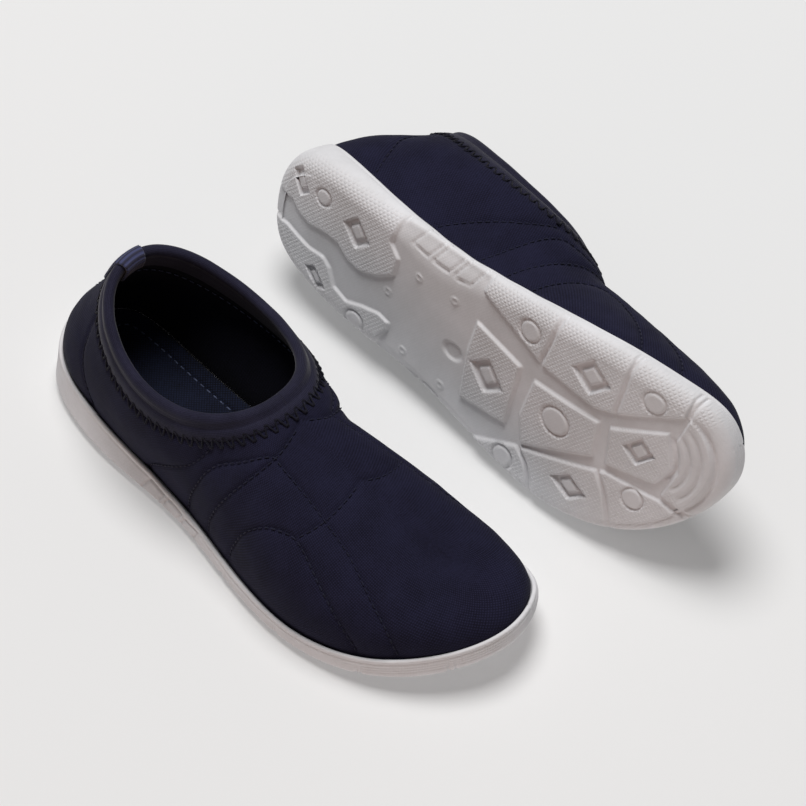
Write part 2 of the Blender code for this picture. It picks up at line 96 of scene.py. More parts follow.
# Where the shoes bend and how the left one lies, as in the CAD part.
BEND_POINT = (0.0, 182.0, 11.5)
LEFT_ROLL, LEFT_HEADING = 109.4, 0.9

# Columns per station and rows of the upper, and sides of a thread.
PER_STATION, UPPER_ROWS, THREAD_SIDES = 28, 84, 6
# Two vertices nearer than this many metres become one, on the ridge and under the sole.
SKIN_WELD, SOLE_WELD = 1e-5, 2e-6


# Curves and the upper's skin.


def hermite(first, last, slope_first, slope_last, s):
    keep = 2 * s**3 - 3 * s**2 + 1
    return keep * first + (1 - keep) * last + (s**3 - 2 * s**2 + s) * slope_first + (s**3 - s**2) * slope_last


def closed_slopes(points):
    """Slopes that make a smooth closed spline through the points."""
    count = len(points)
    system = 4 * np.eye(count)
    system += np.roll(np.eye(count), 1, axis=1) + np.roll(np.eye(count), -1, axis=1)
    return np.linalg.solve(system, 3 * (np.roll(points, -1, axis=0) - np.roll(points, 1, axis=0)))


def eased(values, t, still=()):
    """A smooth curve through the values at t = 0, 1, 2 and so on, with no slope at the still ones."""
    values = np.array(values, float)
    slopes = np.gradient(values)
    slopes[list(still)] = 0
    i = np.minimum(t.astype(int), len(values) - 2)
    return hermite(values[i], values[i + 1], slopes[i], slopes[i + 1], t - i)


def fade(low, high, value):
    """0 below the low value, 1 above the high one and smooth between them."""
    s = np.clip((value - low) / (high - low), 0, 1)
    return s * s * (3 - 2 * s)


def bump(value, width):
    """1 at 0, falling smoothly to nearly 0 at twice the width."""
    return np.exp(-((value / width) ** 2))


OUTLINE_SLOPES = closed_slopes(OUTLINE)


def outline(u, inset=0.0):
    """Points of the sole's outline, moved inwards by the inset, and its outward normals."""
    i = np.floor(u).astype(int) % STATIONS
    j = (i + 1) % STATIONS
    s = (u - np.floor(u))[:, None]
    ends = OUTLINE[i], OUTLINE[j], OUTLINE_SLOPES[i], OUTLINE_SLOPES[j]
    step = 1e-4
    here = hermite(*ends, s)
    along = hermite(*ends, s + step) - here
    along /= norm(along, axis=1, keepdims=True)
    normal = np.stack((along[:, 1], -along[:, 0]), axis=1)
    return here - np.broadcast_to(inset, u.shape)[:, None] * normal, normal


def tread_height(y):
    t = y / SOLE_LENGTH
    heel = np.maximum((FLAT_FROM - t) / FLAT_FROM, 0)
    toe = np.maximum((t - FLAT_TO) / (1 - FLAT_TO), 0)
    return HEEL_BEVEL * heel**2 + TOE_SPRING * toe**2


def feather_height(y):
    t = y / SOLE_LENGTH
    heel = np.clip(1 - t / HEEL_WALL_TO, 0, 1) ** 2
    toe = np.clip((t - TOE_WALL_FROM) / (1 - TOE_WALL_FROM), 0, 1) ** 2
    return tread_height(y) + HEEL_WALL * heel + TOE_WALL * toe + WAIST_WALL * (1 - heel - toe)


def loop_points(loop, angle):
    """Points of a loop round the ankle. The angle is 0 at the heel and positive on the lateral side."""
    across = loop.half_width * np.abs(np.sin(angle)) ** LOOP_FULLNESS * np.sign(np.sin(angle))
    along = loop.half_length * np.cos(angle)
    t = (1 - np.cos(angle)) / 2
    height = loop.heel_z * 2 * (t - 0.5) * (t - 1)
    height += -loop.side_z * 4 * t * (t - 1) + loop.throat_z * 2 * t * (t - 0.5)
    return np.stack((LOOP_X + across, loop.centre_y - along, height), axis=1)


def station_of(u):
    return np.where(u > LAST_STATION, STATIONS - u, u)


def side_of(u):
    return np.where(u > LAST_STATION, -1.0, 1.0)


def seam_angle(u):
    """The signed angle round the ankle of a place on the band's seam."""
    stations = np.minimum(station_of(u), THROAT_STATION)
    return side_of(u) * np.radians(eased(SEAM_ANGLES, stations, still=(THROAT_STATION,)))


def unit(vectors):
    return vectors / norm(vectors, axis=-1, keepdims=True)


def band_frame(angle):
    """Where the band starts at its seam, its outward normal, its upward direction and its height."""
    step = 1e-3
    seam = loop_points(BAND_SEAM, angle)
    band = loop_points(COLLAR_EDGE, angle) - seam
    along = loop_points(BAND_SEAM, angle + step) - loop_points(BAND_SEAM, angle - step)
    height = norm(band, axis=1)
    return seam, unit(np.cross(along, band)), band / height[:, None], height


def ridge(y):
    length = RIDGE_REACH[-1] - RIDGE_REACH[0]
    s = (y - RIDGE_REACH[0]) / length
    x = LOOP_X - RIDGE_BOW * np.maximum(s, 0) ** RIDGE_BOW_POWER
    z = BAND_SEAM.throat_z - RIDGE_FALL * s + RIDGE_LEVELLING * s * s
    slope = (2 * RIDGE_LEVELLING * s - RIDGE_FALL) / length
    return np.stack((x, y, z), axis=1), np.stack((0 * y, -slope, 1 + 0 * y), axis=1)


def sections(u):
    """Four control points of the skin's section at each u, from the sole to the band or the ridge."""
    foot_xy, outward = outline(u, FEATHER_INSET)
    foot = np.column_stack((foot_xy, feather_height(foot_xy[:, 1]) - LIP_DEPTH))
    station = station_of(u)
    seam, band_normal, _, _ = band_frame(seam_angle(u))
    last = len(RIDGE_REACH) - 1
    reach = eased(RIDGE_REACH, np.clip(station - THROAT_STATION, 0, last), still=(0, last))
    ridge_points, ridge_normals = ridge(reach)
    at_band = (station <= THROAT_STATION)[:, None]
    top = np.where(at_band, seam, ridge_points)
    normal = unit(np.where(at_band, band_normal, ridge_normals))
    over_ridge = fade(RIDGE_SHAPE_FROM, THROAT_STATION, station)[:, None]
    down = foot - top
    down -= (down * normal).sum(axis=1, keepdims=True) * normal
    high = top + (SIDE_REACH + over_ridge * (RIDGE_TOP_REACH - SIDE_REACH)) * down
    lift = SIDE_LIFT + over_ridge[:, 0] * (RIDGE_LIFT - SIDE_LIFT)
    rise = lift * (top[:, 2] - foot[:, 2])
    low = foot + np.column_stack((SIDE_BULGE * outward, rise))
    return foot, low, high, top


def skin_points(u, rise):
    """Points of the skin at pairs of u and rise."""
    foot, low, high, top = sections(u)
    rise = rise[:, None]
    keep = 1 - rise
    return keep**3 * foot + 3 * keep**2 * rise * low + 3 * keep * rise**2 * high + rise**3 * top


def one_side_normals(u, rise):
    step = 2e-3
    rise = np.clip(rise, step, NEAR_RIDGE)
    along = skin_points((u + step) % STATIONS, rise) - skin_points((u - step) % STATIONS, rise)
    upward = skin_points(u, rise + step) - skin_points(u, rise - step)
    return unit(np.cross(along, upward))


def skin_normals(u, rise):
    """Outward normals of the skin. On the ridge the two sides share one normal."""
    here, across = one_side_normals(u, rise), one_side_normals((STATIONS - u) % STATIONS, rise)
    share = 0.5 * fade(NEAR_RIDGE, 1, rise) * (station_of(u) > THROAT_STATION)
    return unit(here + share[:, None] * (across - here))


def around_shoe(columns):
    """u at evenly spaced columns all the way round the shoe."""
    return np.arange(columns) * STATIONS / columns


# Meshes.


def grid_faces(rows, columns):
    """Quads of a grid stored row by row, whose last column meets the first."""
    here = np.arange(rows * columns).reshape(rows, columns)
    after = np.roll(here, -1, axis=1)
    quads = (here[:-1], after[:-1], after[1:], here[1:])
    return np.stack([quad.ravel() for quad in quads], axis=1)


def capsules(centres, along, outward, length, radius):
    """Points and faces of many small rounded bars."""
    steps = np.array((-1, -0.8, -0.4, 0, 0.4, 0.8, 1))
    swell = np.sqrt(1 - 0.97 * steps**6)
    angles = np.arange(THREAD_SIDES) * 2 * pi / THREAD_SIDES
    across = np.cross(along, outward)
    points = np.empty((len(centres), len(steps), THREAD_SIDES, 3))
    for i, (step, size) in enumerate(zip(steps, swell)):
        for j, angle in enumerate(angles):
            ring = cos(angle) * outward + sin(angle) * across
            points[:, i, j] = centres + step * length / 2 * along + radius * size * ring
    faces = grid_faces(len(steps), THREAD_SIDES)
    starts = np.arange(len(centres)) * len(steps) * THREAD_SIDES
    return points.reshape(-1, 3), (faces[None] + starts[:, None, None]).reshape(-1, 4)


def ring_tube(points, outward, radius):
    """Points and faces of a thread along a closed path."""
    along = unit(np.roll(points, -1, axis=0) - np.roll(points, 1, axis=0))
    across = unit(np.cross(along, outward))
    lifted = np.cross(across, along)
    angles = (np.arange(THREAD_SIDES) * 2 * pi / THREAD_SIDES)[None, :, None]
    made = points[:, None] + radius * (np.cos(angles) * lifted[:, None] + np.sin(angles) * across[:, None])
    faces = grid_faces(len(points) + 1, THREAD_SIDES) % (len(points) * THREAD_SIDES)
    return made.reshape(-1, 3), faces


# The two shoes' places.


def rest_matrix(joint_name, rotation):
    """From the design frame to the row frame: the design's bend point goes to the joint's place."""
    joint = next(found for found in frame["joints"] if found["name"] == joint_name)
    return Matrix.Translation(joint["pos_m"]) @ rotation @ Matrix.Translation(-Vector(BEND_POINT) * MM)


def turn(degrees, axis):
    return Matrix.Rotation(radians(degrees), 4, axis)


Shoe = namedtuple("Shoe", "name matrix mirrored seed")


def shoes():
    right = turn(180, "Z")
    left = turn(LEFT_HEADING, "Z") @ turn(LEFT_ROLL, "Y") @ turn(180, "Z")
    return (
        Shoe("right", rest_matrix("right_forefoot_flex", right), False, 3.1),
        Shoe("left", rest_matrix("left_forefoot_flex", left), True, 8.7),
    )


def merge_close(mesh, distance):
    bm = bmesh.new()
    bm.from_mesh(mesh)
    bmesh.ops.remove_doubles(bm, verts=bm.verts, dist=distance)
    bm.to_mesh(mesh)
    bm.free()


def make_piece(shoe, ending, points, faces, uv, finish, weld=0.0, marks=None):
    """A smooth piece at its shoe's place, from points in the design frame and a flat map in
    millimetres. Marks are values at the points that the finish reads by name."""
    mesh = bpy.data.meshes.new(shoe.name + "_" + ending)
    mesh.from_pydata((points * MM).tolist(), [], faces.tolist())
    corners = np.empty(len(mesh.loops), int)
    mesh.loops.foreach_get("vertex_index", corners)
    mesh.uv_layers.new(name="flat").data.foreach_set("uv", uv[corners].ravel())
    for mark, values in (marks or {}).items():
        mesh.attributes.new(mark, "FLOAT", "POINT").data.foreach_set("value", values.ravel())
    if weld:
        merge_close(mesh, weld)
    mesh.materials.append(finish)
    mesh.shade_smooth()
    if shoe.mirrored:
        mesh.transform(Matrix.Scale(-1, 4, Vector((1, 0, 0))))
        mesh.flip_normals()
    mesh.transform(shoe.matrix)
    mesh.update()
    made = bpy.data.objects.new(mesh.name, mesh)
    bpy.context.scene.collection.objects.link(made)
    return made


def bend(made):
    """Bakes the piece's place into its mesh."""
    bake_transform(made)


def replace(made, shoe, slot, *nodes):
    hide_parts(*(shoe.name + "_" + node for node in nodes))


# Stitch lines of the upper, as (station, rise) points on each side. The medial side changes three.

LATERAL_LINES = {
    "fan": ((3.95, 0), (4.1, 0.2), (4.4, 0.45), (4.7, 0.68), (4.85, 0.92)),
    "long": (
        (4.85, 0), (4.92, 0.2), (4.98, 0.45), (5.02, 0.68), (5.15, 0.8), (5.5, 0.8), (5.95, 0.75),
        (6.7, 0.75), (7.4, 0.73), (8.15, 0.66), (8.65, 0.53), (9.05, 0.35), (9.28, 0.12), (9.35, 0),
    ),
    "arch": (
        (5.85, 0), (5.95, 0.14), (6.12, 0.3), (6.42, 0.43), (6.75, 0.5), (7.05, 0.53),
        (7.35, 0.5), (7.68, 0.43), (8.05, 0.33), (8.36, 0.22), (8.6, 0.1), (8.68, 0),
    ),
    "instep": ((5.35, 0), (5.42, 0.2), (5.6, 0.5), (5.8, 0.67), (6.03, 0.8), (6.27, 0.92), (6.45, 1)),
    "vamp": ((7.1, 0.55), (7.35, 0.65), (7.58, 0.75), (7.85, 0.88), (8.1, 1)),
    "heel": ((1.3, 0.97), (1.6, 0.8), (1.92, 0.62), (2.35, 0.4), (2.65, 0.15), (2.7, 0)),
}
MEDIAL_LINES = {
    **LATERAL_LINES,
    "long": (
        (4.85, 0), (4.95, 0.2), (5.0, 0.4), (5.05, 0.68), (5.15, 0.8), (5.5, 0.76), (6.0, 0.69),
        (6.65, 0.61), (7.15, 0.55), (7.6, 0.49), (8.0, 0.4), (8.4, 0.26), (8.68, 0.1), (8.75, 0),
    ),
    "arch": (
        (5.8, 0), (5.86, 0.16), (5.97, 0.32), (6.15, 0.42), (6.4, 0.45), (6.7, 0.42), (7.08, 0.34),
        (7.5, 0.22), (7.83, 0.1), (7.95, 0),
    ),
    "vamp": ((7.15, 0.55), (7.4, 0.66), (7.62, 0.76), (7.88, 0.88), (8.1, 1)),
}
STITCH_PITCH, STITCH_LENGTH, STITCH_RADIUS = 3.7, 2.5, 0.32
GROOVE_DEPTH, GROOVE_WIDTH = 0.85, 1.5
PUFF_HEIGHT, PUFF_WIDTH = 0.7, 8.0
HEEL_LINE = np.linspace(0.02, 0.9, 60)
SAG, SAG_SIZE, WRINKLE, WRINKLE_SIZE = 0.5, 26.0, 0.22, 9.0
# Rises between which the quilting fades in at the sole and out at the band.
QUILT_IN, QUILT_OUT = (0, 0.1), (0.93, 1)


def through(points, steps):
    """A smooth curve through the points, as that many points between each pair."""
    points = np.array(points, float)
    t = np.linspace(0, len(points) - 1, steps * (len(points) - 1) + 1)
    return np.column_stack([eased(points[:, k], t) for k in range(points.shape[1])])


def stitch_lines():
    """(u, rise) points of every stitch line, close together."""
    found = []
    for side, lines in ((1, LATERAL_LINES), (-1, MEDIAL_LINES)):
        for line in lines.values():
            path = through(line, 24)
            u = path[:, 0] if side > 0 else STATIONS - path[:, 0]
            found.append((u % STATIONS, np.clip(path[:, 1], 0, 1)))
    return found + [(0 * HEEL_LINE, HEEL_LINE)]


def path_lengths(points):
    """The length along a path at each of its points."""
    return np.concatenate(([0], np.cumsum(norm(np.diff(points, axis=0), axis=1))))


def column_lengths(grid):
    """The length along each column of a grid of points, from its first row."""
    steps = norm(np.diff(grid, axis=0, prepend=grid[:1]), axis=2)
    return np.cumsum(steps, axis=0)


def evenly(lengths, spacing):
    """Lengths at which things a spacing apart stand along a path."""
    return np.arange(spacing / 2, lengths[-1] - spacing / 4, spacing)


def distances(points, targets):
    """Distance from each point to the nearest target."""
    tree = kdtree.KDTree(len(targets))
    for k, target in enumerate(targets):
        tree.insert(target, k)
    tree.balance()
    return np.array([tree.find(point)[2] for point in points])


def rough(points, scale, seed):
    """Smooth random values, about -1 to 1, at the points."""
    offset = Vector((seed, 2 * seed, 3 * seed))
    return np.array([noise.noise(Vector(point) / scale + offset) for point in points])


def upper_relief(u, rise, points, lines, shoe):
    """How far the quilted fabric stands out from the skin."""
    near = distances(points, lines)
    relief = PUFF_HEIGHT * (1 - bump(near, PUFF_WIDTH)) - GROOVE_DEPTH * bump(near, GROOVE_WIDTH)
    relief += SAG * rough(points, SAG_SIZE, shoe.seed) + WRINKLE * rough(points, WRINKLE_SIZE, shoe.seed + 5)
    at_band = station_of(u) < THROAT_STATION
    return relief * fade(*QUILT_IN, rise) * (1 - fade(*QUILT_OUT, rise) * at_band)


def skin_grid(columns, rows, lowest=0.0):
    """u and rise at the points of a grid over the whole skin, row by row."""
    return np.tile(around_shoe(columns), rows), np.repeat(np.linspace(lowest, 1, rows), columns)


def flat_map(points, columns):
    """A flat map for the weave: millimetres round the shoe and up it."""
    grid = points.reshape(-1, columns, 3)
    around = norm(np.roll(grid, -1, axis=1) - grid, axis=2)
    around = np.cumsum(around, axis=1).mean(axis=0)
    return np.column_stack((np.tile(around, len(grid)), column_lengths(grid).ravel()))


def upper(shoe, finish):
    columns = PER_STATION * STATIONS
    u, rise = skin_grid(columns, UPPER_ROWS)
    points = skin_points(u, rise)
    lines = np.concatenate([skin_points(*line) for line in stitch_lines()])
    shaped = points + upper_relief(u, rise, points, lines, shoe)[:, None] * skin_normals(u, rise)
    faces = grid_faces(UPPER_ROWS, columns)
    made = make_piece(shoe, "upper", shaped, faces, flat_map(points, columns), finish, weld=SKIN_WELD)
    bend(made)
    replace(
        made, shoe, "stretch_fabric", "heel_panel", "lateral_quarter", "medial_quarter",
        "lateral_side_panel", "medial_side_panel", "instep_panel", "vamp_flex_panel", "toe_panel",
        "lateral_toe_side", "medial_toe_side",
    )


# The sole.

SOLE_PER_STATION, WALL_ROWS, CORNER_ROWS, BOTTOM_ROWS = 40, 17, 21, 62
SPINE_FROM, SPINE_TO = 26.0, 230.0
LATERAL_CORNER, MEDIAL_CORNER, WAIST_SLANT = 4.0, 9.5, 8.0
WAIST_CENTRE, WAIST_LENGTH, WAIST_RISE, WALL_HEIGHT = 104.0, 26.0, 1.6, 4.0
HEEL_SWELL, HEEL_SWELL_CENTRE, HEEL_SWELL_LENGTH = 4.0, 62.0, 46.0
# The lip's profile as (out from its inner edge, down from its top), and where the wall starts.
LIP_PROFILE = ((0, 0.9), (0.15, 0.4), (0.5, 0.08), (1.0, 0), (1.5, 0.05), (2.1, 0.45))
WALL_TOP_INSET, WALL_TOP_DROP, SHELF_WIDTH = 0.95, 1.0, 5.0
# The lip's top edge ripples at the waist and has a nick at the toe.
RIPPLE, RIPPLE_CENTRE, RIPPLE_LENGTH = 0.35, 120, 50
NICK, NICK_AT, NICK_WIDTH = 0.9, 11.55, 0.02
PAD_HEIGHT, PAD_EDGE, PAD_RIM, PAD_RIM_FADE, GROOVE_HALF = 1.5, 0.5, 0.9, 0.8, 1.0
ENGRAVED_DEPTH, ENGRAVED_WIDTH = 1.1, 0.6
RECESS_DEPTH, ISLAND_HEIGHT, ISLAND_SIZE = 2.3, 1.5, 0.55

# Raised pads of the tread, seen through the sole from above: x to the outer side, y to the toe.
PADS = (
    ((6, -20), (1.5, 13), (5, 18.5), (7, 26.5), (5, 37.5), (5, 45.5), (9.5, 53.5), (10.5, 61.5), (6.5, 72),
     (-0.5, 81), (-10.5, 81), (-16, 74.5), (-28.5, 75.5), (-40, 82), (-70, 85), (-70, -20)),
    ((20, -20), (16.5, 14.5), (19, 30.5), (18, 40), (21, 45), (28.5, 50.5), (31, 59.5), (27, 69), (24, 79),
     (25, 86), (29, 86.5), (36.5, 82.5), (75, 70), (75, -20)),
    ((-11, 132.5), (-6, 162.5), (28, 163.5), (32.5, 135.5), (7, 132)),
    ((-4.5, 171.5), (-8.5, 210.5), (10.5, 213), (31.5, 175.5), (17.5, 169.5)),
    ((-9.5, 216.5), (-25, 244), (-8, 251), (4.5, 245.5), (10, 220)),
    ((-28, 131), (-22.5, 150), (-15, 172.5), (-14, 206), (-18.5, 217.5), (-37.5, 248.5), (-80, 249),
     (-80, 130)),
    ((49.5, 145), (34.5, 173), (17, 215.5), (14, 222.5), (12, 250), (24, 300), (90, 300), (90, 147)),
    ((-7.5, 254), (8.5, 250), (20.5, 300), (-80, 300), (-80, 251.5), (-38, 251.5), (-23, 248.5)),
)
# Grooves between the pads at the edges, running out through the side of the sole.
EDGE_GROOVES = (
    ((-15, 171.5), (-33, 174), (-62, 175)),
    ((-19, 216.5), (-35.5, 217), (-66, 217)),
    ((33.5, 174), (42.5, 183.5), (68, 192)),
    ((16, 217.5), (29, 226.5), (62, 240)),
)
# Engraved rings: centre, and radius across and along.
RINGS = (
    (-12, 31, 4.2, 4.6), (37.5, 67, 5.2, 6), (-27, 161.5, 5.6, 6), (7, 189, 7, 8.2),
    (-36, 233, 5.6, 6), (45, 168, 5.6, 6), (19, 238, 5.4, 5.6),
)
# Sunk lozenges with a raised island: centre, and the half diagonals as (across, along) pairs.
LOZENGES = (
    (11.5, 146.5, (9, 1), (1, 10.5)), (-28, 199.5, (9, 1.5), (-1.5, 11)),
    (-7, 233.5, (7.5, 0.5), (-1.5, 8)), (34, 206.5, (6.5, 1.5), (-1, 10)),
    (-7.5, 54.5, (8, 1.5), (0.5, 8.5)), (-10.5, 15.5, (7, 2), (2, 7)), (31, 39, (5.5, 2), (2, 7)),
)
# Grooves in arcs at the toe: centre, radii, and the middle and half of their span in degrees.
ARC_CENTRE, ARC_RADII, ARC_MIDDLE, ARC_SPAN, ARC_FADE = (-10.5, 237), (15.5, 21, 26.5, 32.5), -8.0, 44.0, 9.0
ARC_DEPTH, ARC_WIDTH, ARC_MARGIN, ARC_PLAIN_FROM = 1.1, 1.0, 2.6, 14.0
# A sunk oval and raised dimples at the waist.
WAIST_OVAL, WAIST_OVAL_DEPTH = (14, 124, 4.2, 5.6), 1.2
WAIST_DIMPLES = ((-9, 94.5), (-11.5, 117), (35.5, 123), (33.5, 97.5), (10, 80))
DIMPLE_HEIGHT, DIMPLE_RADIUS, DIMPLE_WIDTH = 0.5, 1.6, 0.6

# Marks in the side of the sole, by the distance down it from its top edge.
SIDE_LINE, SIDE_LINE_DEPTH, SIDE_LINE_WIDTH = 3.4, 0.45, 0.55
TOE_LINES, TOE_LINE_DEPTH, TOE_LINE_WIDTH, TOE_LINES_IN = (5.4, 7.0, 8.6), 0.3, 0.42, (212, 240)
SQUARE_CENTRES, SQUARE_HALF, SQUARE_SHEAR = (92.5, 106.0, 119.5), 5.2, 0.42
SQUARE_TOP, SQUARE_BOTTOM, SQUARE_SHORTER = 4.0, 17.0, 6.5
SQUARE_DEPTH, SQUARE_LINE = 1.0, 0.4
SIDE_MARKS_IN, SIDE_MARKS_OUT = (2, 3), (18, 20)
# The upward part of the surface's normal where the tread's shapes start and where they are complete.
DOTS_IN, STEP_IN, MARKS_IN, WALL_IN = (0.1, -0.75), (-0.45, -0.95), (-0.3, -0.7), (0.3, -0.1)
WALL_LINES_FROM = (4.5, 6)


def to_segment(x, y, start, end):
    """Distance to a straight line between two points."""
    ex, ey = end[0] - start[0], end[1] - start[1]
    t = np.clip(((x - start[0]) * ex + (y - start[1]) * ey) / (ex * ex + ey * ey), 0, 1)
    return np.hypot(x - start[0] - t * ex, y - start[1] - t * ey)


def to_path(x, y, points):
    """Distance to an open path of points."""
    return np.minimum.reduce([to_segment(x, y, *ends) for ends in zip(points[:-1], points[1:])])


def inside_polygon(x, y, corners):
    """Signed distance to a polygon's edge, positive inside."""
    inside = np.zeros(x.shape, bool)
    for (ax, ay), (bx, by) in zip(corners, corners[1:] + corners[:1]):
        crosses = (ay > y) != (by > y)
        with np.errstate(divide="ignore", invalid="ignore"):
            inside ^= crosses & (x < ax + (y - ay) * (bx - ax) / (by - ay))
    nearest = to_path(x, y, corners + corners[:1])
    return np.where(inside, nearest, -nearest)


def inside_pads(x, y):
    """Signed distance to the edge of the tread's pads, positive on a pad."""
    within = np.maximum.reduce([inside_polygon(x, y, corners) for corners in PADS])
    for points in EDGE_GROOVES:
        within = np.minimum(within, to_path(x, y, through(points, 8)) - GROOVE_HALF)
    return within


def oval(x, y, centre_x, centre_y, across, along):
    """How far a point is from an oval's centre: 1 on its edge."""
    return np.hypot((x - centre_x) / across, (y - centre_y) / along)


def lozenge(x, y, centre_x, centre_y, across, along):
    """How far a point is from a lozenge's centre: 1 on its edge."""
    det = across[0] * along[1] - across[1] * along[0]
    a = ((x - centre_x) * along[1] - (y - centre_y) * along[0]) / det
    b = ((y - centre_y) * across[0] - (x - centre_x) * across[1]) / det
    return np.abs(a) + np.abs(b)


def spot_marks(x, y):
    """(depth of the rings and lozenges, share of the dots that stays)."""
    sunk, dotted = np.zeros(x.shape), np.ones(x.shape)
    for ring in RINGS:
        reach = oval(x, y, *ring)
        sunk += ENGRAVED_DEPTH * bump((reach - 1) * ring[2], ENGRAVED_WIDTH)
        dotted *= 1 - fade(-0.06, 0.06, 1 - reach)
    for shape in LOZENGES:
        reach = lozenge(x, y, *shape)
        sunk += RECESS_DEPTH * fade(-0.05, 0.05, 1 - reach)
        sunk -= ISLAND_HEIGHT * fade(-0.08, 0.08, ISLAND_SIZE - reach)
        dotted *= 1 - fade(-0.05, 0.05, 1.05 - reach)
    return sunk, dotted


def arc_marks(x, y):
    """(depth of the arcs at the toe, share of the dots that stays)."""
    right, ahead = x - ARC_CENTRE[0], y - ARC_CENTRE[1]
    from_centre = np.hypot(right, ahead)
    turned = np.abs(np.degrees(np.arctan2(right, ahead)) - ARC_MIDDLE)
    within = fade(-ARC_FADE, ARC_FADE, ARC_SPAN - turned)
    sunk = np.zeros(x.shape)
    dotted = 1 - within * fade(ARC_PLAIN_FROM, ARC_PLAIN_FROM + 2, from_centre)
    for radius in ARC_RADII:
        sunk += ARC_DEPTH * within * bump(from_centre - radius, ARC_WIDTH)
        dotted *= 1 - within * bump(from_centre - radius, ARC_MARGIN)
    return sunk, dotted


def waist_marks(x, y):
    """Depth of the waist's oval and dimples."""
    sunk = WAIST_OVAL_DEPTH * fade(-0.2, 0.2, 1 - oval(x, y, *WAIST_OVAL))
    for centre_x, centre_y in WAIST_DIMPLES:
        from_centre = np.hypot(x - centre_x, y - centre_y)
        sunk -= DIMPLE_HEIGHT * bump(from_centre - DIMPLE_RADIUS, DIMPLE_WIDTH)
    return sunk


def tread(x, y):
    """What the underside has at each point: depth below the pads, strength of the line round the
    pads, depth of the marks, and share that is dotted."""
    within = inside_pads(x, y)
    step = PAD_HEIGHT * fade(PAD_EDGE, -PAD_EDGE, within)
    sunk = waist_marks(x, y)
    texture = fade(PAD_RIM, PAD_RIM + PAD_RIM_FADE, within)
    for marks in (spot_marks, arc_marks):
        depth, dotted = marks(x, y)
        sunk += depth
        texture *= dotted
    return step, bump(within, ENGRAVED_WIDTH), sunk, texture


def side_relief(y, down, lateral):
    """How far the side of the sole is sunk, by the distance down it from the top edge."""
    sunk = SIDE_LINE_DEPTH * bump(down - SIDE_LINE, SIDE_LINE_WIDTH)
    for line in TOE_LINES:
        sunk += TOE_LINE_DEPTH * fade(*TOE_LINES_IN, y) * bump(down - line, TOE_LINE_WIDTH)
    tall = (SQUARE_BOTTOM - SQUARE_SHORTER * lateral - SQUARE_TOP) / 2
    from_middle = down - SQUARE_TOP - tall
    for centre in SQUARE_CENTRES:
        along = np.abs(y - centre + SQUARE_SHEAR * from_middle)
        reach = np.maximum(along - SQUARE_HALF, np.abs(from_middle) - tall)
        sunk += SQUARE_DEPTH * bump(reach, SQUARE_LINE)
    return sunk * fade(*SIDE_MARKS_IN, down) * (1 - fade(*SIDE_MARKS_OUT, down))


def lip_top(u, y):
    """Height of the lip's top edge."""
    ripple = RIPPLE * bump(y - RIPPLE_CENTRE, RIPPLE_LENGTH) * np.sin(y / 4.3) * np.sin(y / 11)
    return feather_height(y) + ripple - NICK * bump(u - NICK_AT, NICK_WIDTH)


def sole_rows(u):
    """Points of the sole's surface, row by row: up out of the recess, over the lip, down and under."""
    y = outline(u)[0][:, 1]
    top, ground, shelf = lip_top(u, y), tread_height(y), feather_height(y) - LIP_DEPTH
    waist = bump(y - WAIST_CENTRE, WAIST_LENGTH)
    station = station_of(u)
    ends = fade(0, 1.6, np.minimum(station, LAST_STATION - station))
    lateral = 0.5 + 0.5 * side_of(u) * ends
    corner = MEDIAL_CORNER + lateral * (LATERAL_CORNER - MEDIAL_CORNER) + (1 - lateral) * WAIST_SLANT * waist
    tall = np.minimum(0.3 + corner, top - ground - WALL_HEIGHT + WAIST_RISE * waist)
    swollen = HEEL_SWELL * lateral * ends * bump(y - HEEL_SWELL_CENTRE, HEEL_SWELL_LENGTH)

    def at(inset, height):
        return np.column_stack((outline(u, inset)[0], height))

    rows = [at(LIP_INNER_INSET + SHELF_WIDTH, shelf), at(LIP_INNER_INSET, shelf)]
    rows += [at(LIP_INNER_INSET - out, top - down) for out, down in LIP_PROFILE]
    wall_top = top - WALL_TOP_DROP
    for s in np.linspace(0, 1, WALL_ROWS + 1)[1:]:
        inset = WALL_TOP_INSET * (1 - s) ** 1.5 - swollen * s * s
        rows.append(at(inset, wall_top + s * (ground + tall - wall_top)))
    for angle in np.linspace(0, pi / 2, CORNER_ROWS + 1)[1:]:
        inset = (corner + swollen) * (1 - cos(angle)) - swollen
        rows.append(at(inset, ground + tall * (1 - sin(angle))))
    for xy in inwards(outline(u, corner)[0], BOTTOM_ROWS):
        rows.append(np.column_stack((xy, tread_height(xy[:, 1]))))
    return np.array(rows)


def inwards(edge, count):
    """Rows of points from a closed edge to the line down its middle, where the two sides meet."""
    middle = 0.5 * (edge + edge[-np.arange(len(edge))])
    y = np.clip(middle[:, 1], SPINE_FROM, SPINE_TO)
    half = middle[: len(edge) // 2]
    line = np.column_stack((np.interp(y, half[:, 1], half[:, 0]), y))
    return [edge + s * (line - edge) for s in np.linspace(0, 1, count + 1)[1:]]


def grid_normals(grid):
    """Normals of a closed grid of points, stored as rows of columns."""
    along = np.roll(grid, -1, axis=1) - np.roll(grid, 1, axis=1)
    across = np.gradient(grid, axis=0)
    normals = np.cross(across, along)
    length = norm(normals, axis=2, keepdims=True)
    return np.where(length > 1e-9, normals / np.maximum(length, 1e-9), (0, 0, -1.0))


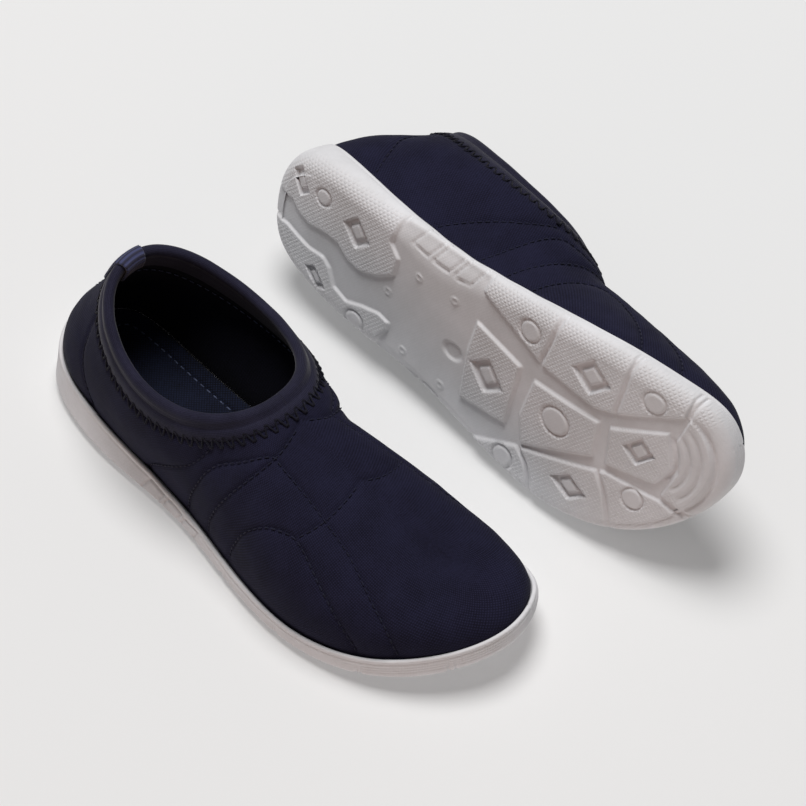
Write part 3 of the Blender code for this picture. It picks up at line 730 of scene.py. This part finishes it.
def sole(shoe, finish):
    columns = SOLE_PER_STATION * STATIONS
    u = around_shoe(columns)
    grid = sole_rows(u)
    normals = grid_normals(grid)
    x, y, facing_up = grid[..., 0], grid[..., 1], normals[..., 2]
    down = column_lengths(grid) - SHELF_WIDTH - LIP_DEPTH
    step, pad_line, marks, texture = tread(x, y)
    under, level, facing_down = (fade(*ends, facing_up) for ends in (DOTS_IN, STEP_IN, MARKS_IN))
    # The rows under the sole count as facing down, also where they meet in the middle.
    for share in (under, level, facing_down):
        share[-BOTTOM_ROWS:] = 1
    wall = fade(*WALL_IN, facing_up) * (1 - level) * fade(*WALL_LINES_FROM, down)
    sunk = step * level + marks * facing_down + ENGRAVED_DEPTH * pad_line * wall
    sunk += side_relief(y, down, 0.5 + 0.5 * side_of(u))
    shaped = (grid - sunk[..., None] * normals).reshape(-1, 3)
    faces = grid_faces(len(grid), columns)[:, ::-1]
    dotted = {"pad": texture * under}
    made = make_piece(shoe, "sole", shaped, faces, shaped[:, :2], finish, weld=SOLE_WELD, marks=dotted)
    bend(made)
    replace(made, shoe, "sole_rubber", "rear_outsole", "forefoot_outsole")


# Stitching, the collar band, the tab and the inside of the shoe.

STITCH_SUNK, STITCH_TOP, STITCH_BOTTOM = 0.4, 0.95, 0.05
BAND_PROUD, BAND_THICKNESS = 0.6, 5.4
BAND_COLUMNS, BAND_TUCK, BAND_SAG, BAND_SAG_SIZE = 300, 2.0, 0.22, 14.0
LIP_RADIUS, LIP_TALLER, LIP_CREASE = 2.9, 1.15, 6.6
ZIGZAG_PITCH, ZIGZAG_HALF, ZIGZAG_RADIUS = 5.4, 2.3, 0.42
ZIGZAG_STEPS, ZIGZAG_TURN, ZIGZAG_WAVE = 24, 0.14, 0.15
KNOT_FROM, KNOT_LENGTH, KNOT_RADIUS = 0.225, 2.2, 0.75
TAB_ANGLE, TAB_THICKNESS, TAB_BELOW_SEAM, TAB_RIB = 9.0, 1.2, 7.0, 1.9
TAB_COLUMNS, TAB_RIB_HEIGHT, TAB_HOLD = 14, 0.24, 0.15
LINING_PER_STATION, LINING_ROWS, LINING_FROM = 16, 44, 0.01
LINING_DEPTH, LINING_SAG, LINING_SAG_SIZE = 4.2, 0.3, 17.0
LINING_SEAM, LINING_SEAM_PUFF, INSIDE_STITCH_PITCH = 0.82, 0.8, 4.2
SOCK_PER_STATION, SOCK_ROWS = 24, 44
SOCK_INSET, SOCK_LOW, SOCK_HIGH = 10.8, 2.2, 5.8
# The sockliner's edge as (in from its outside, up from its underside).
SOCK_EDGE = ((1.5, 0), (0.3, 0), (0, 0.5), (0, 2.4), (0.2, 3.0), (0.7, 3.5), (1.4, 3.6))
HEEL_CUP, CUP_WIDTH, CUP_ENDS = 1.6, 13, (110, 170)
SOCK_STITCH_INSET, SOCK_GROOVE, SOCK_GROOVE_WIDTH, SOCK_STITCH_PITCH = 7.0, 0.9, 1.1, 4.4
ARCH_PRINT, ARCH_DEPTH, ARCH_LINE = (-6, 66, 17, 46), 0.7, 0.05


def stitch_row(u, rise, pitch):
    """u, rise and direction of stitches a pitch apart along a line of the skin."""
    points = skin_points(u, rise)
    lengths = path_lengths(points)
    places = evenly(lengths, pitch)

    def at(values, lengths_at):
        return np.interp(lengths_at, lengths, values)

    middle_u = at(np.unwrap(u, period=STATIONS), places) % STATIONS
    ahead = [at(points[:, k], places + 0.4) - at(points[:, k], places - 0.4) for k in range(3)]
    return middle_u, at(rise, places), unit(np.column_stack(ahead))


def bars(shoe, ending, centres, along, outward, length, radius, finish):
    """One piece of many stitches."""
    points, faces = capsules(centres, along, outward, length, radius)
    return make_piece(shoe, ending, points, faces, points[:, :2], finish)


def stitches(shoe, finish):
    """Every stitch of the quilted lines, lying in its groove."""
    found = [stitch_row(u, rise, STITCH_PITCH) for u, rise in stitch_lines()]
    u, rise, along = (np.concatenate(parts) for parts in zip(*found))
    keep = (rise > STITCH_BOTTOM) & (rise < STITCH_TOP)
    u, rise, along = u[keep], rise[keep], along[keep]
    outward = skin_normals(u, rise)
    centres = skin_points(u, rise) - STITCH_SUNK * outward
    made = bars(shoe, "stitches", centres, along, outward, STITCH_LENGTH, STITCH_RADIUS, finish)
    bend(made)


def band_section(height):
    """The band's section from outside its foot over the rim to inside it: out and up for each height."""
    middle, inside = BAND_PROUD - BAND_THICKNESS / 2, BAND_PROUD - BAND_THICKNESS
    crease = height - LIP_CREASE
    section = [(BAND_PROUD - 2.2, 0 * height - 0.5), (BAND_PROUD - 0.9, 0 * height - 0.1)]
    for s in np.linspace(0, 1, 10):
        section.append((BAND_PROUD - 0.5 + 0.9 * sin(pi * s) ** 0.7, 0.3 + s * (crease - 0.9)))
    section.append((BAND_PROUD - 0.25, crease - 0.2))
    rim_centre = height - LIP_RADIUS * LIP_TALLER
    for angle in np.radians(np.linspace(-40, 205, 24)):
        fat = 1.0 if angle < pi / 2 else 0.9
        out = middle + 0.25 + fat * LIP_RADIUS * cos(angle)
        section.append((out, rim_centre + LIP_RADIUS * LIP_TALLER * sin(angle)))
    for s in np.linspace(0, 1, 8)[1:]:
        section.append((inside + 0.2 - 0.3 * s, (1 - s) * (height - 5.5) - s * BAND_TUCK))
    return section


def collar(shoe, finish):
    angle = np.arange(BAND_COLUMNS) * 2 * pi / BAND_COLUMNS - pi
    seam, outward, upward, height = band_frame(angle)
    sag = BAND_SAG * rough(seam, BAND_SAG_SIZE, shoe.seed + 2)
    rows = [
        seam + (out + sag)[:, None] * outward + up[:, None] * upward
        for out, up in band_section(height)
    ]
    rows = np.array(rows)
    faces = grid_faces(len(rows), BAND_COLUMNS)
    around = np.broadcast_to(path_lengths(seam), rows.shape[:2])
    uv = np.stack((around, column_lengths(rows)), axis=2).reshape(-1, 2)
    made = make_piece(shoe, "collar", rows.reshape(-1, 3), faces, uv, finish)
    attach(made, shoe.name + "_rear")
    replace(made, shoe, "binding_fabric", "collar_band")


def zigzag(shoe, finish):
    """The overlocked thread that joins the band to the upper, in steps with a knot at each end."""
    turn_at = np.linspace(-pi, pi, 2001)
    lengths = path_lengths(loop_points(BAND_SEAM, turn_at))
    count = round(lengths[-1] / ZIGZAG_PITCH)
    s = np.arange(count * ZIGZAG_STEPS) / ZIGZAG_STEPS
    phase = s % 1
    from_turn = np.abs((phase + 0.25) % 0.5 - 0.25)
    across = np.where(phase < 0.5, 1, -1) * ZIGZAG_HALF * fade(0, ZIGZAG_TURN, from_turn)
    lift = BAND_PROUD + ZIGZAG_WAVE * np.cos(4 * pi * phase)
    seam, outward, upward, _ = band_frame(np.interp(s / count * lengths[-1], lengths, turn_at))
    path = seam + across[:, None] * upward + lift[:, None] * outward
    tube, tube_faces = ring_tube(path, outward, ZIGZAG_RADIUS)
    knots = from_turn > KNOT_FROM
    along = unit(np.gradient(path, axis=0))[knots]
    knot_points, knot_faces = capsules(path[knots], along, outward[knots], KNOT_LENGTH, KNOT_RADIUS)
    points = np.concatenate((tube, knot_points))
    faces = np.concatenate((tube_faces, knot_faces + len(tube)))
    made = make_piece(shoe, "zigzag", points, faces, points[:, :2], finish)
    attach(made, shoe.name + "_rear")


def tab_path(height):
    """The tab's path from outside the heel over the rim to inside it, as out and up."""
    over = BAND_PROUD + 0.45
    inside = BAND_PROUD - BAND_THICKNESS - 0.5
    path = [(over + 0.1, -TAB_BELOW_SEAM), (over + 0.3, -TAB_BELOW_SEAM / 2)]
    path += [(over + 0.35, 0), (over + 0.3, height - 5)]
    for angle in np.radians(np.linspace(0, 180, 9)):
        out = (over + inside) / 2 + (over - inside) / 2 * cos(angle)
        path.append((out, height - 3 + 3.9 * sin(angle)))
    path += [(inside, height - 7), (inside - 0.1, 1.5)]
    return through(path, 16)


def tab(shoe, finish):
    """A ribbed tape folded over the rim at the back of the heel."""
    across = np.linspace(-TAB_ANGLE, TAB_ANGLE, TAB_COLUMNS)
    across = np.concatenate((across, across[::-1]))
    outer = np.repeat((1.0, 0.0), TAB_COLUMNS)
    seam, outward, upward, height = band_frame(np.radians(across))
    path = tab_path(height.mean())
    along = unit(np.gradient(path, axis=0))
    lengths = path_lengths(path)
    ends = np.minimum(fade(0, 0.8, lengths), fade(0, 0.8, lengths[-1] - lengths))
    thick = (TAB_THICKNESS - 3 * TAB_HOLD) * ends
    thick += TAB_RIB_HEIGHT * np.cos(2 * pi * lengths / TAB_RIB) * ends
    rows = []
    for (out, up), (along_out, along_up), high in zip(path, along, thick):
        lift = np.where(outer > 0, TAB_HOLD + high, -TAB_HOLD)
        out_here, up_here = out + lift * along_up, up - lift * along_out
        rows.append(seam + out_here[:, None] * outward + up_here[:, None] * upward)
    rows = np.array(rows)
    faces = grid_faces(len(rows), len(across))
    uv = np.stack(np.broadcast_arrays(across, lengths[:, None]), axis=2).reshape(-1, 2)
    made = make_piece(shoe, "tab", rows.reshape(-1, 3), faces, uv, finish)
    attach(made, shoe.name + "_rear")
    replace(made, shoe, "tab_webbing", "heel_tab")


def lining(shoe, finish):
    columns = LINING_PER_STATION * STATIONS
    u, rise = skin_grid(columns, LINING_ROWS, LINING_FROM)
    points = skin_points(u, rise)
    sag = LINING_SAG * rough(points, LINING_SAG_SIZE, shoe.seed + 9) * fade(0, 0.2, rise)
    seam = LINING_SEAM_PUFF * bump((rise - LINING_SEAM) * 60, 1.4) * (station_of(u) < THROAT_STATION + 0.5)
    shaped = points - (LINING_DEPTH + sag - seam)[:, None] * skin_normals(u, rise)
    faces = grid_faces(LINING_ROWS, columns)[:, ::-1]
    made = make_piece(shoe, "lining", shaped, faces, flat_map(points, columns), finish, weld=SKIN_WELD)
    bend(made)
    replace(made, shoe, "lining_fabric", "quarter_lining", "toe_lining")


def lining_stitches(shoe, finish):
    """A row of light stitches round the inside, below the collar band."""
    stations = np.linspace(-THROAT_STATION, THROAT_STATION, 300) % STATIONS
    u, rise, along = stitch_row(stations, np.full(300, LINING_SEAM), INSIDE_STITCH_PITCH)
    outward = skin_normals(u, rise)
    centres = skin_points(u, rise) - (LINING_DEPTH + 0.1) * outward
    made = bars(shoe, "lining_stitches", centres, along, -outward, 2.6, 0.32, finish)
    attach(made, shoe.name + "_rear")


def footbed(xy, up):
    """Points of the sockliner above places in plan, up from the sole's recess."""
    return np.column_stack((xy, feather_height(xy[:, 1]) - LIP_DEPTH + up))


def sockliner(shoe, finish):
    columns = SOCK_PER_STATION * STATIONS
    u = around_shoe(columns)
    rows = [footbed(outline(u, SOCK_INSET + inset)[0], SOCK_LOW + up) for inset, up in SOCK_EDGE]
    edge = outline(u, SOCK_INSET + SOCK_EDGE[-1][0])[0]
    for xy in inwards(edge, SOCK_ROWS):
        from_edge = np.hypot(*(xy - edge).T)
        cup = HEEL_CUP * (1 - fade(0, CUP_WIDTH, from_edge)) * (1 - fade(*CUP_ENDS, xy[:, 1]))
        groove = SOCK_GROOVE * bump(from_edge - SOCK_STITCH_INSET, SOCK_GROOVE_WIDTH)
        arch = ARCH_DEPTH * bump(oval(*xy.T, *ARCH_PRINT) - 1, ARCH_LINE)
        rows.append(footbed(xy, SOCK_HIGH + cup - groove - arch))
    points = np.concatenate(rows)
    faces = grid_faces(len(rows), columns)
    made = make_piece(shoe, "sockliner", points, faces, points[:, :2], finish, weld=SOLE_WELD)
    bend(made)
    replace(made, shoe, "sockliner_foam", "rear_sockliner", "forefoot_sockliner")


def sockliner_stitches(shoe, finish):
    """A row of light stitches round the sockliner, in its groove."""
    inset = SOCK_INSET + SOCK_EDGE[-1][0] + SOCK_STITCH_INSET
    path = footbed(outline(np.linspace(0, STATIONS, 1200), inset)[0], SOCK_HIGH - 0.1)
    lengths = path_lengths(path)
    places = evenly(lengths, SOCK_STITCH_PITCH)
    centres = np.column_stack([np.interp(places, lengths, path[:, k]) for k in range(3)])
    along = unit(np.roll(centres, -1, axis=0) - np.roll(centres, 1, axis=0))
    upward = np.tile((0, 0, 1.0), (len(centres), 1))
    made = bars(shoe, "sockliner_stitches", centres, along, upward, 2.6, 0.4, finish)
    bend(made)


# Colours and materials. Sizes are in millimetres, and a wave texture of scale 1 has a pitch of
# WAVE_UNIT.

BLACK_NAVY, NAVY_DARK, NAVY = (0.003, 0.003, 0.006), (0.007, 0.0065, 0.016), (0.0175, 0.0175, 0.044)
NAVY_LIGHT, TAPE_BLUE, FOOTBED_NAVY = (0.024, 0.023, 0.050), (0.045, 0.052, 0.130), (0.010, 0.014, 0.034)
THREAD_BLUE, THREAD_LIGHT = (0.018, 0.019, 0.042), (0.10, 0.12, 0.20)
SOLE_DARK, SOLE_LIGHT = (0.66, 0.655, 0.67), (0.76, 0.755, 0.78)
BOARD_DARK, BOARD_LIGHT = (0.25, 0.24, 0.23), (0.36, 0.35, 0.33)
STIFFENER_DARK, STIFFENER_LIGHT = (0.16, 0.16, 0.18), (0.25, 0.25, 0.27)
WAVE_UNIT = pi / 10
DOT_PITCH, DOT_HEIGHT, DOT_ROWS_TURNED, DOT_TOP, DOT_FOOT, HATCH_PITCH = 1.8, 0.17, 38.0, 0.2, 0.42, 1.3


def new_finish(name, roughness, specular, sheen=0.0):
    made = bpy.data.materials.new(name)
    made.use_nodes = True
    tree = made.node_tree
    shader = tree.nodes["Principled BSDF"]
    shader.inputs["Roughness"].default_value = roughness
    shader.inputs["Specular IOR Level"].default_value = specular
    shader.inputs["Sheen Weight"].default_value = sheen
    return made, tree, shader


def node(tree, kind, settings=None, **inputs):
    """A new shader node, with settings on the node and numbers or links on its inputs."""
    made = tree.nodes.new("ShaderNode" + kind)
    for key, value in (settings or {}).items():
        setattr(made, key, value)
    for key, value in inputs.items():
        socket = made.inputs[int(key[1:])] if key[0] == "_" else made.inputs[key]
        if isinstance(value, bpy.types.NodeSocket):
            tree.links.new(value, socket)
        else:
            socket.default_value = value
    return made


def add(tree, first, second):
    return node(tree, "Math", {"operation": "ADD"}, _0=first, _1=second).outputs[0]


def times(tree, first, second):
    return node(tree, "Math", {"operation": "MULTIPLY"}, _0=first, _1=second).outputs[0]


def flat(tree, turned=0.0):
    """The piece's flat map in millimetres, turned by an angle in degrees."""
    uv = node(tree, "UVMap", {"uv_map": "flat"}).outputs[0]
    return node(tree, "Mapping", Vector=uv, Rotation=(0, 0, radians(turned))).outputs[0]


def stripes(tree, vector, pitch, across="X", waviness=0.0):
    """Soft stripes with a pitch in millimetres."""
    made = node(
        tree, "TexWave", {"bands_direction": across},
        Vector=vector, Scale=WAVE_UNIT / pitch, Distortion=waviness, Detail=1.0,
    )
    return made.outputs["Fac"]


def crossed(tree, vector, pitch):
    """Soft stripes across each other."""
    return times(tree, stripes(tree, vector, pitch), stripes(tree, vector, pitch, "Y"))


def grain(tree, size_mm, detail=3.0):
    """Noise through the solid, with grains of a size in millimetres."""
    place_in = node(tree, "TexCoord").outputs["Object"]
    return node(tree, "TexNoise", Vector=place_in, Scale=1000 / size_mm, Detail=detail).outputs["Fac"]


def coloured(tree, shader, factor, first, second):
    """Colours the surface from the first to the second over the middle of the factor's range."""
    ramp = node(tree, "ValToRGB", Fac=factor)
    ramp.color_ramp.elements[0].position, ramp.color_ramp.elements[1].position = 0.3, 0.7
    ramp.color_ramp.elements[0].color, ramp.color_ramp.elements[1].color = (*first, 1), (*second, 1)
    tree.links.new(ramp.outputs[0], shader.inputs["Base Color"])


def bumped(tree, shader, height, depth_mm):
    made = node(tree, "Bump", Height=height, Distance=depth_mm * MM, Strength=1.0)
    tree.links.new(made.outputs[0], shader.inputs["Normal"])


def woven(name, dark, light, pitch, depth_mm, roughness, sheen, turned=0.0):
    """A matt knitted or woven fabric: crossed ribs, fine fuzz and patches of slightly different colour."""
    made, tree, shader = new_finish(name, roughness, 0.12, sheen)
    shader.inputs["Sheen Roughness"].default_value = 0.45
    ribs, fuzz = crossed(tree, flat(tree, turned), pitch), grain(tree, 0.9)
    mixed = add(tree, times(tree, ribs, 0.7), times(tree, fuzz, 0.6))
    shade = add(tree, times(tree, grain(tree, 14), 0.35), times(tree, mixed, 0.65))
    coloured(tree, shader, shade, dark, light)
    bumped(tree, shader, mixed, depth_mm)
    return made


def ribbed(name, dark, light, pitch):
    """A tape with strong ribs across it."""
    made, tree, shader = new_finish(name, 0.75, 0.3, 0.25)
    ribs = stripes(tree, flat(tree), pitch, "Y", 0.4)
    coloured(tree, shader, ribs, dark, light)
    bumped(tree, shader, add(tree, ribs, grain(tree, 0.7)), 0.15)
    return made


def thread(name, dark, light):
    """Twisted thread."""
    made, tree, shader = new_finish(name, 0.75, 0.15, 0.05)
    twist = grain(tree, 0.8)
    coloured(tree, shader, twist, dark, light)
    bumped(tree, shader, twist, 0.08)
    return made


def rubber(name, dark, light):
    """Moulded rubber: rows of small dots on the pads, a fine crossed grain elsewhere, faint mottling."""
    made, tree, shader = new_finish(name, 0.62, 0.35)
    vector = flat(tree, DOT_ROWS_TURNED)
    pad = node(tree, "Attribute", {"attribute_name": "pad"}).outputs["Fac"]
    cell = node(tree, "TexVoronoi", Vector=vector, Scale=1 / DOT_PITCH, Randomness=0.0).outputs["Distance"]
    smooth = {"interpolation_type": "SMOOTHSTEP"}
    dots = node(tree, "MapRange", smooth, _0=cell, _1=DOT_TOP, _2=DOT_FOOT, _3=1.0, _4=0.0).outputs[0]
    hatch = crossed(tree, vector, HATCH_PITCH)
    fine = add(tree, times(tree, hatch, 0.2), times(tree, grain(tree, 1.4), 0.3))
    shade = add(tree, times(tree, grain(tree, 22), 0.75), times(tree, grain(tree, 2.5), 0.25))
    coloured(tree, shader, shade, dark, light)
    bumped(tree, shader, add(tree, times(tree, times(tree, dots, pad), 0.9), fine), DOT_HEIGHT)
    return made


def board(name, dark, light):
    """Pressed fibre board, for the stiff layers that the fabric hides."""
    made, tree, shader = new_finish(name, 0.85, 0.3)
    fibres = grain(tree, 1.2, 6.0)
    coloured(tree, shader, fibres, dark, light)
    bumped(tree, shader, fibres, 0.15)
    return made


def finish_hidden_layers():
    """The boards and stiffeners keep their solids and get a finish."""
    finishes = {
        "insole_board": board("fibre_board", BOARD_DARK, BOARD_LIGHT),
        "heel_counter": board("heel_stiffener", STIFFENER_DARK, STIFFENER_LIGHT),
        "toe_puff": board("toe_stiffener", STIFFENER_DARK, STIFFENER_LIGHT),
    }
    for name in frame["nodes"]:
        for ending, finish in finishes.items():
            if name.endswith(ending):
                for slot in bpy.data.objects[name].material_slots:
                    slot.material = finish


# Camera, floor and light.

VIEW_AZIMUTH, VIEW_ELEVATION = -43.8, 53.9
VIEW_DISTANCE, VIEW_LENS = 2.417, 229.0
LOOK_FROM_HEEL = (0.0804, -0.1339, 0.0)
FLOOR_HALF, FLOOR_DROP, FLOOR_GLOW = 4.0, 0.0005, 0.2
FLOOR_DARK, FLOOR_LIGHT, FLOOR_MOTTLE = (0.61, 0.61, 0.61), (0.63, 0.63, 0.63), 900
ROOM_LIGHT = 0.145
Lamp = namedtuple("Lamp", "name place size power colour")
LAMPS = (
    Lamp("key", (0.4, 0.55, 2.75), 1.5, 72.0, (1, 0.995, 0.99)),
    Lamp("warm_fill", (-1.3, -0.7, 0.25), 0.9, 3.0, (1, 0.56, 0.38)),
)


def stand(name, data, place_m, towards):
    """A camera or lamp at a place, looking along a direction."""
    made = bpy.data.objects.new(name, data)
    made.location = place_m
    made.rotation_mode = "QUATERNION"
    made.rotation_quaternion = towards.to_track_quat("-Z", "Y")
    bpy.context.scene.collection.objects.link(made)
    return made


def camera(heel):
    a, e = radians(VIEW_AZIMUTH), radians(VIEW_ELEVATION)
    back = Vector((sin(a) * cos(e), -cos(a) * cos(e), sin(e)))
    data = bpy.data.cameras.new("camera")
    data.lens = VIEW_LENS
    data.clip_end = 20
    place_m = heel + Vector(LOOK_FROM_HEEL) + VIEW_DISTANCE * back
    bpy.context.scene.camera = stand("camera", data, place_m, -back)


def area_light(lamp):
    data = bpy.data.lights.new(lamp.name, "AREA")
    data.shape = "DISK"
    data.size = lamp.size
    data.energy = lamp.power
    data.color = lamp.colour
    stand(lamp.name, data, lamp.place, -Vector(lamp.place))


def floor_finish():
    """Pale paper with a faint glow of its own, which keeps the shadows on it light."""
    made, tree, shader = new_finish("floor_paper", 0.95, 0.1)
    coloured(tree, shader, grain(tree, FLOOR_MOTTLE), FLOOR_DARK, FLOOR_LIGHT)
    shader.inputs["Emission Color"].default_value = (1, 1, 1, 1)
    shader.inputs["Emission Strength"].default_value = FLOOR_GLOW
    return made


def studio():
    half = FLOOR_HALF
    mesh = bpy.data.meshes.new("floor")
    corners = [(-half, -half, 0), (half, -half, 0), (half, half, 0), (-half, half, 0)]
    mesh.from_pydata(corners, [], [(0, 1, 2, 3)])
    mesh.materials.append(floor_finish())
    floor = bpy.data.objects.new("floor", mesh)
    floor.location.z = -FLOOR_DROP
    bpy.context.scene.collection.objects.link(floor)
    bpy.context.scene.view_settings.view_transform = "Standard"
    world = bpy.data.worlds.new("studio")
    world.use_nodes = True
    background = world.node_tree.nodes["Background"]
    background.inputs["Color"].default_value = (1, 1, 1, 1)
    background.inputs["Strength"].default_value = ROOM_LIGHT
    bpy.context.scene.world = world
    for lamp in LAMPS:
        area_light(lamp)


def main():
    fabric = woven("stretch_fabric", NAVY_DARK, NAVY, 1.1, 0.12, 0.92, 0.02, 35.0)
    binding = woven("binding_fabric", NAVY_DARK, NAVY_LIGHT, 0.8, 0.08, 0.75, 0.14)
    inner = woven("lining_fabric", BLACK_NAVY, NAVY_DARK, 1.4, 0.1, 0.95, 0.04)
    footbed_cloth = woven("footbed_cloth", BLACK_NAVY, FOOTBED_NAVY, 1.2, 0.1, 0.9, 0.08, 45.0)
    tape = ribbed("tab_tape", NAVY, TAPE_BLUE, TAB_RIB)
    seam_thread = thread("seam_thread", NAVY_DARK, THREAD_BLUE)
    knot_thread = thread("knot_thread", BLACK_NAVY, NAVY_DARK)
    light_thread = thread("light_thread", THREAD_BLUE, THREAD_LIGHT)
    grey = rubber("sole_rubber", SOLE_DARK, SOLE_LIGHT)
    pair = shoes()
    for shoe in pair:
        upper(shoe, fabric)
        stitches(shoe, seam_thread)
        sole(shoe, grey)
        collar(shoe, binding)
        zigzag(shoe, knot_thread)
        tab(shoe, tape)
        lining(shoe, inner)
        lining_stitches(shoe, light_thread)
        sockliner(shoe, footbed_cloth)
        sockliner_stitches(shoe, light_thread)
    finish_hidden_layers()
    camera(pair[0].matrix.translation)
    studio()


main()
